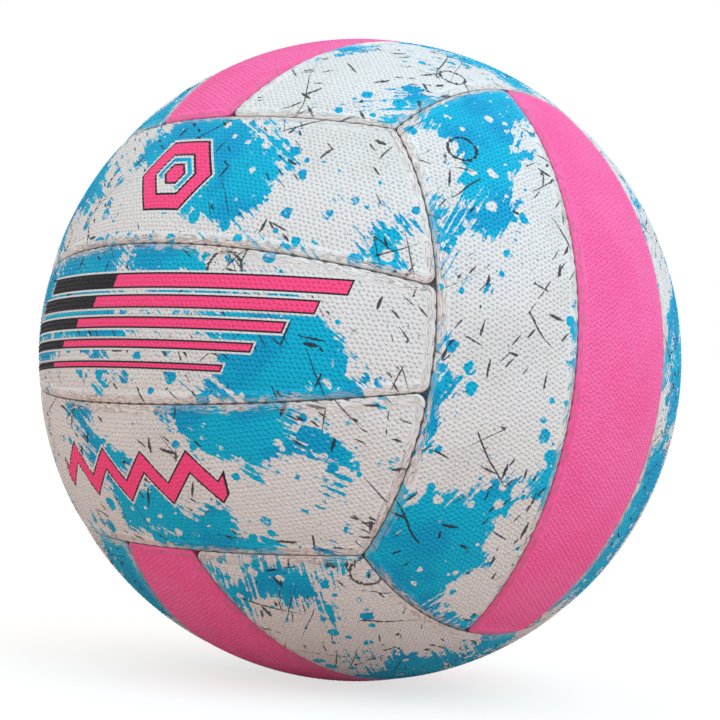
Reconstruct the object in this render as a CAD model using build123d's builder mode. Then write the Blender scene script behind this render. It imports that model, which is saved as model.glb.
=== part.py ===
from build123d import *
import os
from math import acos, asin, atan2, cos, degrees, hypot, pi, radians, sin, sqrt

# A netball: eighteen strips of rubber on woven lining, in six groups of three, are
# sewn together by their turned-in edges over an air bladder with an inflation valve.
# The origin is the ball's centre, +Z is up, the front is towards -Y. All sizes in mm.

# The ball and its seams, measured along its surface
ball_circumference = 700.0
group_width = 145.2            # across three strips, at the middle of their length
middle_strip_width = 49.6      # the middle strip of a group, at the same place

# The strips
cover_thickness = 1.0
lining_thickness = 0.7
glue_line = 0.05               # between pieces that are stuck together
edge_radius = 3.0              # outside of a turned-in edge
corner_radius = 4.0            # of a strip's corners, seen from outside
seam_gap = 0.3                 # between the turned-in edges of two strips
seam_depth = 6.5               # from the ball's surface to the tips of those edges

# The sewing thread, which lies in the crease between two strips
thread_diameter = 0.8
thread_clearance = 0.05        # to the edge at each side
thread_end_gap = 1.2           # from a thread's end to the seam that it runs up to

# The bladder, which swells up between the turned-in edges
bladder_wall = 0.6
bladder_clearance = 0.1        # to the lining and to the tips of the edges
bladder_edge_radius = 2.0      # round the top of each swelling

# The inflation valve, in the middle strip of the left group
valve_stem_diameter = 9.0
valve_hole_clearance = 0.2     # round the stem, in the cover, lining and bladder
valve_recess = 0.4             # of the stem's top below the ball's surface
valve_base_diameter = 26.0
valve_base_thickness = 1.4
valve_pocket_diameter = 11.0
valve_pocket_floor = 2.5       # under the plug
plug_diameter = 5.0
plug_length = 15.0
plug_head_diameter = 7.0
plug_head_thickness = 1.2
plug_clearance = 0.05
needle_hole_diameter = 2.0
needle_hole_depth = 12.0
needle_lead_in = 0.5           # chamfer at the mouth of the needle's hole

# Worked out from those sizes
ball_radius = ball_circumference / (2 * pi)
group_angle = group_width / 2 / ball_radius
seam_angle = middle_strip_width / 2 / ball_radius

# Three groups meet at each corner of a cube. The long edge of a group is the circle
# through two such corners and the group's widest point: its pole leans back from the
# way the strips are stacked, and it lies at one polar angle from that pole.
corner_share = 1 / sqrt(3)
edge_lean = atan2(sin(group_angle) - corner_share, cos(group_angle) - corner_share)
edge_polar_angle = pi / 2 - group_angle + edge_lean
lean_back = sin(edge_lean)
lean_up = cos(edge_lean)

# A strip's end is the long edge of the group next to it
end_share = lean_up * cos(seam_angle)
seam_half_sweep = acos(cos(edge_polar_angle) / hypot(end_share, lean_back)) - atan2(lean_back, end_share)
edge_half_sweep = asin(corner_share / sin(edge_polar_angle))

cover_inset = seam_gap / 2
lining_inset = cover_inset + cover_thickness + glue_line
lining_top = ball_radius - cover_thickness - glue_line
lining_edge_radius = edge_radius - cover_thickness - glue_line
lining_corner_radius = corner_radius - cover_thickness - glue_line
bladder_inset = lining_inset + lining_thickness + bladder_clearance
bladder_top = lining_top - lining_thickness - bladder_clearance
bladder_corner_radius = lining_corner_radius - lining_thickness
bladder_core_radius = ball_radius - seam_depth - bladder_clearance
edge_tips = ball_radius - seam_depth

thread_radius = thread_diameter / 2
thread_reach = edge_radius + thread_radius + thread_clearance
thread_rise = sqrt(thread_reach**2 - (cover_inset + edge_radius) ** 2)
thread_path_radius = ball_radius - edge_radius + thread_rise

# For each group: the way its strips run, the way it faces, and its strips in order
GROUPS = {
    "front": ((1, 0, 0), (0, -1, 0), ("upper", "middle", "lower")),
    "back": ((-1, 0, 0), (0, 1, 0), ("upper", "middle", "lower")),
    "right": ((0, 0, 1), (1, 0, 0), ("front", "middle", "rear")),
    "left": ((0, 0, 1), (-1, 0, 0), ("rear", "middle", "front")),
    "top": ((0, 1, 0), (0, 0, 1), ("left", "middle", "right")),
    "bottom": ((0, 1, 0), (0, 0, -1), ("right", "middle", "left")),
}
VALVE_GROUP = "left"
CENTRE = Vector(0, 0, 0)


def group_planes(group):
    """The planes of a group's three strips, through the ball's centre.

    X runs along the strip and Z faces out. The third strip is the first one turned
    half round, so that +Y points from the middle strip to the outer one in both.
    """
    along, out, _ = GROUPS[group]
    ahead = Plane(origin=CENTRE, x_dir=along, z_dir=out)
    turned = Plane(origin=CENTRE, x_dir=-Vector(along), z_dir=out)
    return ahead, ahead, turned


def seam_plane(side):
    """The plane of the seam between the middle strip and the outer one on that side."""
    return Plane(origin=CENTRE, x_dir=(1, 0, 0), z_dir=(0, side * cos(seam_angle), -sin(seam_angle)))


def cut_edge(pole, facing, inset, far_angle):
    """Cuts a block off along a group's long edge, from there to another polar angle.

    The cut is a part of a cone round the pole, on the side that faces the strip. Its
    tip moves along the pole, which sets the wall in from the seam by the same distance
    everywhere.
    """
    pole = Vector(pole)
    side = 1 if far_angle > edge_polar_angle else -1
    tip = pole * (side * inset / sin(edge_polar_angle))
    half_turn = 85
    start = Vector(facing).rotate(Axis(CENTRE, pole), -half_turn)
    near, far = 0.5 * ball_radius, 1.4 * ball_radius
    with BuildSketch(Plane(origin=tip, x_dir=start, z_dir=start.cross(pole))) as section:
        with BuildLine():
            Polyline(
                (near * sin(edge_polar_angle), near * cos(edge_polar_angle)),
                (far * sin(edge_polar_angle), far * cos(edge_polar_angle)),
                (far * sin(far_angle), far * cos(far_angle)),
                (near * sin(far_angle), near * cos(far_angle)),
                close=True,
            )
        make_face()
    revolve(section.sketch, axis=Axis(tip, pole), revolution_arc=2 * half_turn, mode=Mode.SUBTRACT)


def strip_block(is_middle, top, bottom, inset, rounding, corner):
    """The block of the ball under one strip, between two radii, set in from its seams.

    The strip runs along X and faces +Z, and an outer strip lies towards +Y. Its four
    corners are rounded in plan, and then the rim of its outer face.
    """
    with BuildPart() as block:
        Sphere(top, rotation=(90, 0, 0))
        split(bisect_by=Plane.XY.offset(0.2 * ball_radius), keep=Keep.TOP)
        Sphere(bottom, rotation=(90, 0, 0), mode=Mode.SUBTRACT)
        if is_middle:
            for side in (1, -1):
                split(bisect_by=seam_plane(side).offset(-inset), keep=Keep.BOTTOM)
        else:
            split(bisect_by=seam_plane(1).offset(inset), keep=Keep.TOP)
            cut_edge((0, lean_up, -lean_back), (0, lean_back, lean_up), inset, radians(1))
        for end in (1, -1):
            past_end = edge_polar_angle + radians(45)
            cut_edge((-end * lean_back, 0, lean_up), (end * lean_up, 0, lean_back), inset, past_end)
        half_height = (top - bottom) / 2
        upright = block.edges().filter_by(lambda e: abs((e @ 0).length - (e @ 1).length) > half_height)
        fillet(upright, corner)
        rim = block.edges().filter_by(lambda e: min((e @ t).length for t in (0, 0.5, 1)) > top - half_height / 2)
        fillet(rim, rounding)
    return block.part


def strip_tray(is_middle, top, thickness, inset, rounding, corner):
    """A sheet of one thickness over a strip, with its edges turned in to the seam's depth."""
    below_tips = edge_tips - thickness
    outside = strip_block(is_middle, top, edge_tips, inset, rounding, corner)
    hollow = strip_block(
        is_middle, top - thickness, below_tips, inset + thickness, rounding - thickness, corner - thickness
    )
    with BuildPart() as tray:
        add(outside)
        add(hollow, mode=Mode.SUBTRACT)
    return tray.part


def valve_hole(plane):
    """Cuts the hole for the valve's stem out of a piece, along the plane's Z axis."""
    with Locations(plane.location):
        Cylinder(
            radius=valve_stem_diameter / 2 + valve_hole_clearance,
            height=2 * ball_radius,
            align=(Align.CENTER, Align.CENTER, Align.MIN),
            mode=Mode.SUBTRACT,
        )


def seam_thread(pole, facing, polar_angle, half_sweep):
    """Adds a thread along the circle at a polar angle round a pole, centred on one side."""
    pole = Vector(pole)
    trimmed = half_sweep - thread_end_gap / (ball_radius * sin(polar_angle))
    start = Vector(facing).rotate(Axis(CENTRE, pole), -degrees(trimmed))
    with BuildSketch(Plane(origin=CENTRE, x_dir=start, z_dir=start.cross(pole))) as section:
        with Locations((thread_path_radius * sin(polar_angle), thread_path_radius * cos(polar_angle))):
            Circle(thread_radius)
    revolve(section.sketch, axis=Axis(CENTRE, pole), revolution_arc=2 * degrees(trimmed))


def swollen_ball(shrink):
    """The bladder's form: a core ball with a swelling under each of the eighteen strips."""
    pads = {
        is_middle: strip_block(
            is_middle,
            bladder_top - shrink,
            bladder_core_radius - 2 * bladder_wall,
            bladder_inset + shrink,
            bladder_edge_radius - shrink,
            bladder_corner_radius,
        )
        for is_middle in (True, False)
    }
    with BuildPart() as ball:
        Sphere(bladder_core_radius - shrink)
        for group, (_, _, strips) in GROUPS.items():
            for strip, plane in zip(strips, group_planes(group)):
                with Locations(plane.location):
                    add(pads[strip == "middle"])
    return ball.part


def at_radius(radius, off_axis):
    """A point of the valve's section on a ball about the centre, at a distance off the axis."""
    return off_axis, sqrt(radius**2 - off_axis**2)


os.makedirs("parts", exist_ok=True)

# The strips: a rubber cover, and the woven lining that backs it
covers = {}
linings = {}
for is_middle in (True, False):
    covers[is_middle] = strip_tray(
        is_middle, ball_radius, cover_thickness, cover_inset, edge_radius, corner_radius
    )
    linings[is_middle] = strip_tray(
        is_middle, lining_top, lining_thickness, lining_inset, lining_edge_radius, lining_corner_radius
    )

for group, (_, _, strips) in GROUPS.items():
    for strip, plane in zip(strips, group_planes(group)):
        has_valve = group == VALVE_GROUP and strip == "middle"
        for layer, sheets in (("panel", covers), ("lining", linings)):
            with BuildPart() as sheet:
                with Locations(plane.location):
                    add(sheets[strip == "middle"])
                if has_valve:
                    valve_hole(plane)
            sheet.part.label = f"{layer}_{group}_{strip}"
            export_step(sheet.part, f"parts/{sheet.part.label}.step")

# The threads: each group has its two inner seams and its two long edges
with BuildPart() as group_threads:
    for side in (1, -1):
        seam_pole = (0, side * cos(seam_angle), -sin(seam_angle))
        seam_thread(seam_pole, (0, side * sin(seam_angle), cos(seam_angle)), pi / 2, seam_half_sweep)
        edge_pole = (0, side * lean_up, -lean_back)
        seam_thread(edge_pole, (0, side * lean_back, lean_up), edge_polar_angle, edge_half_sweep)

for group in GROUPS:
    with BuildPart() as thread:
        with Locations(group_planes(group)[1].location):
            add(group_threads.part)
    thread.part.label = f"seam_thread_{group}"
    export_step(thread.part, f"parts/{thread.part.label}.step")

# The bladder: one wall of even thickness, with a hole for the valve's stem
valve_plane = group_planes(VALVE_GROUP)[1]
bladder_outside = swollen_ball(0)
bladder_inside = swollen_ball(bladder_wall)
with BuildPart() as bladder:
    add(bladder_outside)
    add(bladder_inside, mode=Mode.SUBTRACT)
    valve_hole(valve_plane)
bladder.part.label = "bladder"
export_step(bladder.part, "parts/bladder.step")

# The valve's body: a stem through the wall, a base stuck inside the bladder and a pocket
valve_section = Plane(origin=CENTRE, x_dir=valve_plane.x_dir, z_dir=valve_plane.x_dir.cross(valve_plane.z_dir))
valve_axis = Axis(CENTRE, valve_plane.z_dir)
stem_radius = valve_stem_diameter / 2
base_radius = valve_base_diameter / 2
pocket_radius = valve_pocket_diameter / 2
stem_top = ball_radius - valve_recess
plug_end = stem_top - plug_length
base_top = bladder_top - bladder_wall - glue_line
base_underside = base_top - valve_base_thickness
bore_radius = plug_diameter / 2 + plug_clearance
head_bore_radius = plug_head_diameter / 2 + plug_clearance
head_seat = stem_top - plug_head_thickness - plug_clearance
with BuildPart() as valve_body:
    with BuildSketch(valve_section):
        with BuildLine():
            Polyline(
                at_radius(base_top, stem_radius),
                (stem_radius, stem_top),
                (head_bore_radius, stem_top),
                (head_bore_radius, head_seat),
                (bore_radius, head_seat),
                (bore_radius, plug_end - plug_clearance),
                (0, plug_end - plug_clearance),
                (0, plug_end - valve_pocket_floor),
                (pocket_radius, plug_end - valve_pocket_floor),
                at_radius(base_underside, pocket_radius),
            )
            middle_radius = (pocket_radius + base_radius) / 2
            ThreePointArc(
                at_radius(base_underside, pocket_radius),
                at_radius(base_underside, middle_radius),
                at_radius(base_underside, base_radius),
            )
            Line(at_radius(base_underside, base_radius), at_radius(base_top, base_radius))
            ThreePointArc(
                at_radius(base_top, base_radius),
                at_radius(base_top, middle_radius),
                at_radius(base_top, stem_radius),
            )
        make_face()
    revolve(axis=valve_axis)
valve_body.part.label = "valve_body"
export_step(valve_body.part, "parts/valve_body.step")

# The valve's plug, with the blind hole that takes the pump's needle
needle_radius = needle_hole_diameter / 2
with BuildPart() as valve_plug:
    with BuildSketch(valve_section):
        with BuildLine():
            Polyline(
                (0, stem_top - needle_hole_depth),
                (needle_radius, stem_top - needle_hole_depth),
                (needle_radius, stem_top - needle_lead_in),
                (needle_radius + needle_lead_in, stem_top),
                (plug_head_diameter / 2, stem_top),
                (plug_head_diameter / 2, stem_top - plug_head_thickness),
                (plug_diameter / 2, stem_top - plug_head_thickness),
                (plug_diameter / 2, plug_end),
                (0, plug_end),
                close=True,
            )
        make_face()
    revolve(axis=valve_axis)
valve_plug.part.label = "valve_plug"
export_step(valve_plug.part, "parts/valve_plug.step")
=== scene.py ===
# %% [markdown]
# # A netball
# The ball is eighteen strips of pimpled rubber, sewn edge to edge over a bladder. The
# frame holds the finished solids. This lesson dresses them: each strip becomes a soft
# tray with pimples and stitched edges, and each surface gets its own finish.

# %% Load the frame
import math
from functools import reduce
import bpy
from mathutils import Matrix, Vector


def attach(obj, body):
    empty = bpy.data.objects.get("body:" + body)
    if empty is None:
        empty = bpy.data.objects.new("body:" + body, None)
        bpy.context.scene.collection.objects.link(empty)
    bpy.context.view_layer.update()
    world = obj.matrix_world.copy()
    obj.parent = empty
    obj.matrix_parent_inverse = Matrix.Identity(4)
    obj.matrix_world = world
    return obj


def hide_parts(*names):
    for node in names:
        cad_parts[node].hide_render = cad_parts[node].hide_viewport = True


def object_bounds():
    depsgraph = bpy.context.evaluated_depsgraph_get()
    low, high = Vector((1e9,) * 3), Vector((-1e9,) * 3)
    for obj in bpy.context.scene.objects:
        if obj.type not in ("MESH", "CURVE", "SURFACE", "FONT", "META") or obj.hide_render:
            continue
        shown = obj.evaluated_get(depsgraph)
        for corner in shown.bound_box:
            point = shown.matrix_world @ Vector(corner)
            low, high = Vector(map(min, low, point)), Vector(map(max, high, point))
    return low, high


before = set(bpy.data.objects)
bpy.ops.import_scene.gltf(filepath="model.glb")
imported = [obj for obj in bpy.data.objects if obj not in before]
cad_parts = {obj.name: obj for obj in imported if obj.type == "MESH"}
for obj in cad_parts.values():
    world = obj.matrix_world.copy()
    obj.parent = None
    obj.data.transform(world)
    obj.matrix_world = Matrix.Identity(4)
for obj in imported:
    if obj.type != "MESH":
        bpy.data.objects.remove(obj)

from types import SimpleNamespace

import bpy
import numpy as np
from mathutils import Matrix
from mathutils.geometry import delaunay_2d_cdt

cad_low, cad_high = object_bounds()
MM = 0.001                     # the ball's lengths are in mm, and Blender's in metres
ball_radius = (cad_high.z - cad_low.z) / 2 / MM
print(f"frame: {len(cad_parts)} nodes, ball radius {ball_radius:.2f} mm")

# %% [markdown]
# ## The camera
# The ball's outline and the corners where three seams meet fix the viewpoint: some
# forty degrees right of the front, just below the ball's middle, five ball radii away.
# The camera's own axes are the columns of its rotation, which holds its slight lean too.

# %% The camera
camera_right = np.array((0.7482, 0.6589, 0.0772))
camera_back = np.array((0.6634, -0.7451, -0.0696))
camera_distance = 5.14 * ball_radius * MM
focal_length = 81.1
sensor_width = 36.0


def unit(vectors):
    """Vectors shortened to length one, along the last axis."""
    return vectors / np.linalg.norm(vectors, axis=-1, keepdims=True)


def add_aimed(name, data, right, back, distance):
    """A camera or a lamp that looks at the ball's centre, from a distance in metres.

    The columns of its rotation are its right, its up and its back.
    """
    thing = bpy.data.objects.new(name, data)
    turn = np.column_stack((right, np.cross(back, right), back))
    thing.matrix_world = Matrix(turn.tolist()).to_4x4()
    thing.location = back * distance
    bpy.context.scene.collection.objects.link(thing)
    print(name, "at", [round(x, 3) for x in thing.location], "m")
    return thing


def add_camera():
    """The camera, with its right-hand axis squared to its back."""
    data = bpy.data.cameras.new("camera")
    data.lens = focal_length
    data.sensor_width = sensor_width
    back = unit(camera_back)
    right = unit(camera_right - back * (back @ camera_right))
    bpy.context.scene.camera = add_aimed("camera", data, right, back, camera_distance)


add_camera()

# %% [markdown]
# ## Where the strips lie
# Six groups of three strips cover the ball, as on the faces of a cube. A strip's four
# sides are circles on the ball. Each circle is kept as a pole and a polar angle: the
# strip holds the directions within that angle of all four poles. Two strips, a middle
# one and an outer one, are worked out once, lying along X and facing +Z, and every
# other strip is one of these two, turned. One middle strip also has the valve's hole.

# %% The circles round a strip
group_width = 145.2            # across three strips, along the surface
middle_strip_width = 49.6
group_angle = group_width / 2 / ball_radius
seam_angle = middle_strip_width / 2 / ball_radius
corner_share = 1 / math.sqrt(3)
edge_lean = math.atan2(math.sin(group_angle) - corner_share, math.cos(group_angle) - corner_share)
edge_polar = math.pi / 2 - group_angle + edge_lean
lean_back, lean_up = math.sin(edge_lean), math.cos(edge_lean)
seam_low, seam_up = math.sin(seam_angle), math.cos(seam_angle)


def strip_sides(kind):
    """A strip's sides in order: the +X end, the +Y side, the -X end and the -Y side."""
    ahead = (np.array((-lean_back, 0, lean_up)), edge_polar)
    behind = (np.array((lean_back, 0, lean_up)), edge_polar)
    if kind == "outer":
        far = (np.array((0, -lean_up, lean_back)), math.pi - edge_polar)
        near = (np.array((0, seam_up, -seam_low)), math.pi / 2)
    else:
        far = (np.array((0, -seam_up, seam_low)), math.pi / 2)
        near = (np.array((0, seam_up, seam_low)), math.pi / 2)
    return ahead, far, behind, near


def strip_tilt(kind):
    """How far a strip's centre line lies round the X axis from straight up."""
    return (seam_angle + group_angle) / 2 if kind == "outer" else 0.0


half_angle, polar_angle = np.degrees((group_angle, edge_polar)).round(2)
print("group half angle", half_angle, "and polar angle of its edge", polar_angle, "degrees")

# %% Every strip's place
GROUPS = {                     # the way its strips run, the way it faces, and their names
    "front": ((1, 0, 0), (0, -1, 0), ("upper", "middle", "lower")),
    "back": ((-1, 0, 0), (0, 1, 0), ("upper", "middle", "lower")),
    "right": ((0, 0, 1), (1, 0, 0), ("front", "middle", "rear")),
    "left": ((0, 0, 1), (-1, 0, 0), ("rear", "middle", "front")),
    "top": ((0, 1, 0), (0, 0, 1), ("left", "middle", "right")),
    "bottom": ((0, 1, 0), (0, 0, -1), ("right", "middle", "left")),
}
VALVE_STRIP = "left_middle"


def group_turn(run, face):
    """The rotation whose columns are the way along, the way across and the way out."""
    run, face = np.array(run, float), np.array(face, float)
    return np.column_stack((run, np.cross(face, run), face))


def strip_turns():
    """Each strip's name, its kind, and the rotation that places it.

    The third strip of a group is an outer strip turned half round.
    """
    for group, (run, face, names) in GROUPS.items():
        ways = (("outer", 1), ("middle", 1), ("outer", -1))
        for name, (kind, way) in zip(names, ways):
            strip = f"{group}_{name}"
            kind = "valve" if strip == VALVE_STRIP else kind
            yield strip, kind, group_turn(way * np.array(run), face)


print("strips:", ", ".join(strip for strip, _, _ in strip_turns()))

# %% [markdown]
# ## The path round a strip
# A turned-in edge is a profile carried along the strip's outline. The outline is four
# arcs, with four small arcs at the corners that touch them. A corner arc's centre has
# the same distance from both circles, which fixes it on the ball; the arcs meet where
# the great circle from that centre to each pole crosses the outline.

# %% The path round a strip
stitch_pitch = 4.8
fewest_points = 3              # on any arc


def arc_round(axis, start, stop, step):
    """Directions on the circle round an axis, from start to just before stop.

    Turns the part of start that lies across the axis, by cosine and sine of the angle.
    Also gives each point's distance along the ball from the arc's middle.
    """
    height = axis @ start
    across = start - axis * height
    side = np.cross(axis, across)
    sweep = math.atan2(stop @ side, stop @ across)
    length = sweep * np.linalg.norm(across) * ball_radius
    angle = np.linspace(0, sweep, max(fewest_points, round(length / step)), endpoint=False)[:, None]
    points = axis * height + across * np.cos(angle) + side * np.sin(angle)
    return points, (angle[:, 0] / sweep - 0.5) * length


def corner_centre(first, second, reach):
    """The direction at one distance inside two circles, beside the corner where they meet.

    It is a mix of both poles and their cross product that has the right angle to each.
    """
    (pole_a, polar_a), (pole_b, polar_b) = first, second
    lean = pole_a @ pole_b
    wanted = np.cos((polar_a - reach / ball_radius, polar_b - reach / ball_radius))
    mix = np.linalg.solve(((1, lean), (lean, 1)), wanted)
    flat = mix[0] * pole_a + mix[1] * pole_b
    normal = np.cross(pole_a, pole_b)
    return flat + normal * math.sqrt((1 - flat @ flat) / (normal @ normal))


def strip_path(sides, layer):
    """A layer's outline: directions, ways inward, and places along the stitches.

    Ways inward point from the outline towards the pole or corner centre of its arc.
    Corner arcs have no stitches, so all of them lie half a pitch from one.
    """
    following = (*sides[1:], sides[0])
    reach = layer.inset + layer.corner
    centres = [corner_centre(side, after, reach) for side, after in zip(sides, following)]

    def touch(side, centre):
        """Where the outline along a side meets the corner arc round a centre."""
        pole, polar = side
        angle = polar - layer.inset / ball_radius
        return math.cos(angle) * pole + math.sin(angle) * unit(centre - pole * (pole @ centre))

    points, inward, places = [], [], []
    for i, (side, after) in enumerate(zip(sides, following)):
        knots = touch(side, centres[i - 1]), touch(side, centres[i]), touch(after, centres[i])
        for axis, start, stop in ((side[0], *knots[:2]), (centres[i], *knots[1:])):
            arc, place = arc_round(axis, start, stop, layer.path_step)
            points.append(arc)
            inward.append(unit(axis - arc * (arc @ axis)[:, None]))
            places.append(place)
        places[-1] = np.full_like(place, stitch_pitch / 2)
    return np.concatenate(points), np.concatenate(inward), np.concatenate(places)


def moved(points, inward, distance):
    """Directions slid along the ball by a distance, towards the inside."""
    angle = np.asarray(distance)[..., None] / ball_radius
    return points * np.cos(angle) + inward * np.sin(angle)


def edge_distance(directions, sides, reach):
    """How far directions lie inside a strip's seams, with rounded corners.

    The least distance to a side, but within reach of two sides the distance to their
    corner arc: reach, less the root of the squared shortfalls.
    """
    distance = np.stack([(polar - np.arccos(np.clip(directions @ pole, -1, 1))) * ball_radius
                         for pole, polar in sides], axis=-1)
    shortfall = np.maximum(reach - distance, 0)
    rounded = reach - np.linalg.norm(shortfall, axis=-1)
    return np.where(shortfall.any(axis=-1), rounded, distance.min(axis=-1))


strip_corner = corner_centre(*strip_sides("middle")[:2], 0.0) * ball_radius
print("a corner of a middle strip lies at", strip_corner.round(1), "mm")

# %% [markdown]
# ## A flat chart of each strip
# Pimples stand in even rows, as on the flat sheet that a strip is cut from. So a strip
# needs a chart that hardly stretches: longitude along it and latitude across it, about
# its own centre line. A strip is narrow, so its pimples stay even to a few percent.

# %% The chart
def turn_round_x(tilt):
    """The rotation that leans +Z over towards +Y."""
    cosine, sine = math.cos(tilt), math.sin(tilt)
    return np.array(((1, 0, 0), (0, cosine, sine), (0, -sine, cosine)))


def on_ball(flat, tilt):
    """Directions for chart points: x is longitude and y is latitude, as lengths."""
    along, across = (flat / ball_radius).T
    ring = np.cos(across)
    level = np.stack((ring * np.sin(along), np.sin(across), ring * np.cos(along)), axis=-1)
    return level @ turn_round_x(tilt).T


def on_chart(directions, tilt):
    """Chart points for directions, the other way round."""
    x, y, z = (directions @ turn_round_x(tilt)).T
    return np.stack((np.arctan2(x, z), np.arcsin(np.clip(y, -1, 1))), axis=-1) * ball_radius


trial, trial_tilt = np.array(((20.0, 5.0), (-60.0, -9.0))), 0.4
strayed = on_chart(on_ball(trial, trial_tilt), trial_tilt) - trial
print("chart returns to itself within", np.abs(strayed).max(), "mm")

# %% [markdown]
# ## A tray
# A strip is a tray: a crown, a rolled edge, a flange that goes down into the seam, and
# the same again inside. The rolled edge is a profile carried round the path. The crown
# is a lattice of points joined to the path by a Delaunay triangulation, because rows
# of pimples don't follow the outline. A pimple takes seven lattice points: one at its
# top and six round its foot. Smooth shading rounds so few points off but shows only a
# part of their slope, so the rubber's finish adds the rest as a bump.

# %% The lattice of pimples
pimple_pitch = 1.6
pimple_foot = 0.06             # the foot's share of the height
pimple_drift = 0.13            # how far the rows wander
# Two waves push the rows along x, and two along y. Each is in radians per mm, both ways.
drift_waves = np.array(((0.7, 1.31), (0.37, -2.1), (1.57, -0.6), (1.9, 0.43)))
sheet_reach = np.array((112.0, 34.0))   # half the length and width that hold any strip
lattice_lean = 2.4             # more rows than the reach needs, since the lattice leans
grid_spacing = 7.0


def pimple_lattice():
    """Points of a triangular lattice over a sheet, and the height of each, up to 1.

    Pimples are spaced by pitch along x and at 60 degrees to it. The lattice is finer by
    the root of seven, so a point with 3 i + j divisible by seven is a pimple's top. A
    few sine waves let the rows wander, as they do in pressed rubber.
    """
    first = np.array((pimple_pitch, 0))
    second = np.array((pimple_pitch / 2, pimple_pitch * math.sqrt(3) / 2))
    step_i = (3 * first - second) / 7
    step_j = (first + 2 * second) / 7
    count = math.ceil(lattice_lean * sheet_reach.max() / pimple_pitch)
    i, j = np.meshgrid(np.arange(-count, count), np.arange(-count, count))
    points = i.reshape(-1, 1) * step_i + j.reshape(-1, 1) * step_j
    is_top = ((3 * i + j) % 7 == 0).ravel()
    inside = (np.abs(points) < sheet_reach).all(axis=-1)
    points, is_top = points[inside], is_top[inside]
    wander = np.sin(points @ drift_waves.T).reshape(-1, 2, 2).sum(axis=-1)
    return points + pimple_drift * wander, np.where(is_top, 1.0, pimple_foot)


lattice_spots, lattice_heights = pimple_lattice()
grid_lines = [np.arange(-reach, reach, grid_spacing) for reach in sheet_reach]
grid_spots = np.stack(np.meshgrid(*grid_lines), axis=-1).reshape(-1, 2)
print("lattice points:", len(lattice_spots), "and on smooth faces:", len(grid_spots))

# %% [markdown]
# The rolled edge dips a little at each stitch, and the crown sags towards the seams, as
# the bladder pushes the middle of each strip out further than the sewn edges.

# %% The tray's profile
seam_depth = 6.5               # from the surface to the tips of the edges
sag_reach = 5.0
stitch_unevenness = 0.3        # how far stitches differ from their mean strength
stitch_scatter = 12.9          # the angle from stitch to stitch that makes them uneven
stitch_sharpness = 6
least_bend = 0.15              # the tightest bend inside a turned edge
bend_points = 4


def ramp(values, low, high):
    """A smooth step from 0 at low to 1 at high."""
    share = np.clip((values - low) / (high - low), 0, 1)
    return share * share * (3 - 2 * share)


def sagged(layer, edge):
    """How far a layer sags at a distance from the seam, by a falling exponential."""
    return layer.sag * np.exp(-np.maximum(edge, 0) / sag_reach)


def stitch_strength(place):
    """How hard the stitches pull at places along a seam, from 0 between them to 1.

    A cosine of the stitch pitch, sharpened, times a strength that differs from stitch to
    stitch.
    """
    wave = np.sin(stitch_scatter * np.round(place / stitch_pitch))
    uneven = 1 - stitch_unevenness + stitch_unevenness * wave
    return uneven * np.cos(np.pi * place / stitch_pitch) ** stitch_sharpness


def quarter_bend(radius, turn):
    """Insets and depths round a quarter circle, at angles from its top to its side."""
    return radius * (1 - np.stack((np.sin(turn), np.cos(turn)), axis=-1))


def rolled_profile(layer):
    """Insets and depths round a turned-in edge, from its crown to its underside.

    A smooth band if it has one, a quarter circle down to the flange, the flange, its tip,
    and back up inside to a smaller quarter circle: the outer points, then the inner ones.
    """
    outer = quarter_bend(layer.roll, np.linspace(0, math.pi / 2, layer.roll_points))
    if layer.band:
        outer = np.vstack(((layer.band, 0), ((layer.band + layer.roll) / 2, 0), outer))
    small = max(layer.roll - layer.thickness, least_bend)
    inner = layer.thickness + quarter_bend(small, np.linspace(math.pi / 2, 0, bend_points))
    return np.vstack((outer, (0, seam_depth))), np.vstack(((layer.thickness, seam_depth), inner))


def profile_lengths(profile):
    """The distance along a profile from its first point."""
    return np.concatenate(((0,), np.cumsum(np.linalg.norm(np.diff(profile, axis=0), axis=-1))))


sewn = stitch_strength(np.arange(-10, 11) * stitch_pitch)
print("stitches pull by", sewn.min().round(2), "to", sewn.max().round(2), "of the most")

# %% [markdown]
# Every point also keeps what the finishes need: how far it is from the seam, how high
# on a pimple, how near a stitch, and where it lies on the flat sheet, with the flange
# folded out. A sheet gathers all of this while the tray grows, ring by ring.

# %% Growing a sheet
merge_distance = 1e-6


def ring_faces(rings):
    """Triangles between closed rings of points, given as rows of indices."""
    low, high = rings[:-1], rings[1:]
    next_low, next_high = np.roll(low, -1, axis=1), np.roll(high, -1, axis=1)
    first = np.stack((low, high, next_high), axis=-1)
    second = np.stack((low, next_high, next_low), axis=-1)
    return np.concatenate((first.reshape(-1, 3), second.reshape(-1, 3)))


def fill(loops, points):
    """Triangles that fill an outline and spare the hole, as indices into loops then points.

    Takes closed loops of chart points, the outline first, and more points inside it.
    """
    everything = np.concatenate((*loops, points))
    edges = []
    first = 0
    for loop in loops:
        k = np.arange(len(loop))
        edges.append(first + np.stack((k, (k + 1) % len(loop)), axis=-1))
        first += len(loop)
    edges = np.concatenate(edges)
    filled = delaunay_2d_cdt(everything.tolist(), edges.tolist(), [], 1, merge_distance, False)
    assert len(filled[0]) == len(everything)
    triangles = np.array(filled[2])
    if len(loops) > 1:
        centres = everything[triangles].mean(axis=1)
        hole_radius = np.linalg.norm(loops[1], axis=-1).min()
        triangles = triangles[np.linalg.norm(centres, axis=-1) > hole_radius]
    return triangles


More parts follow.
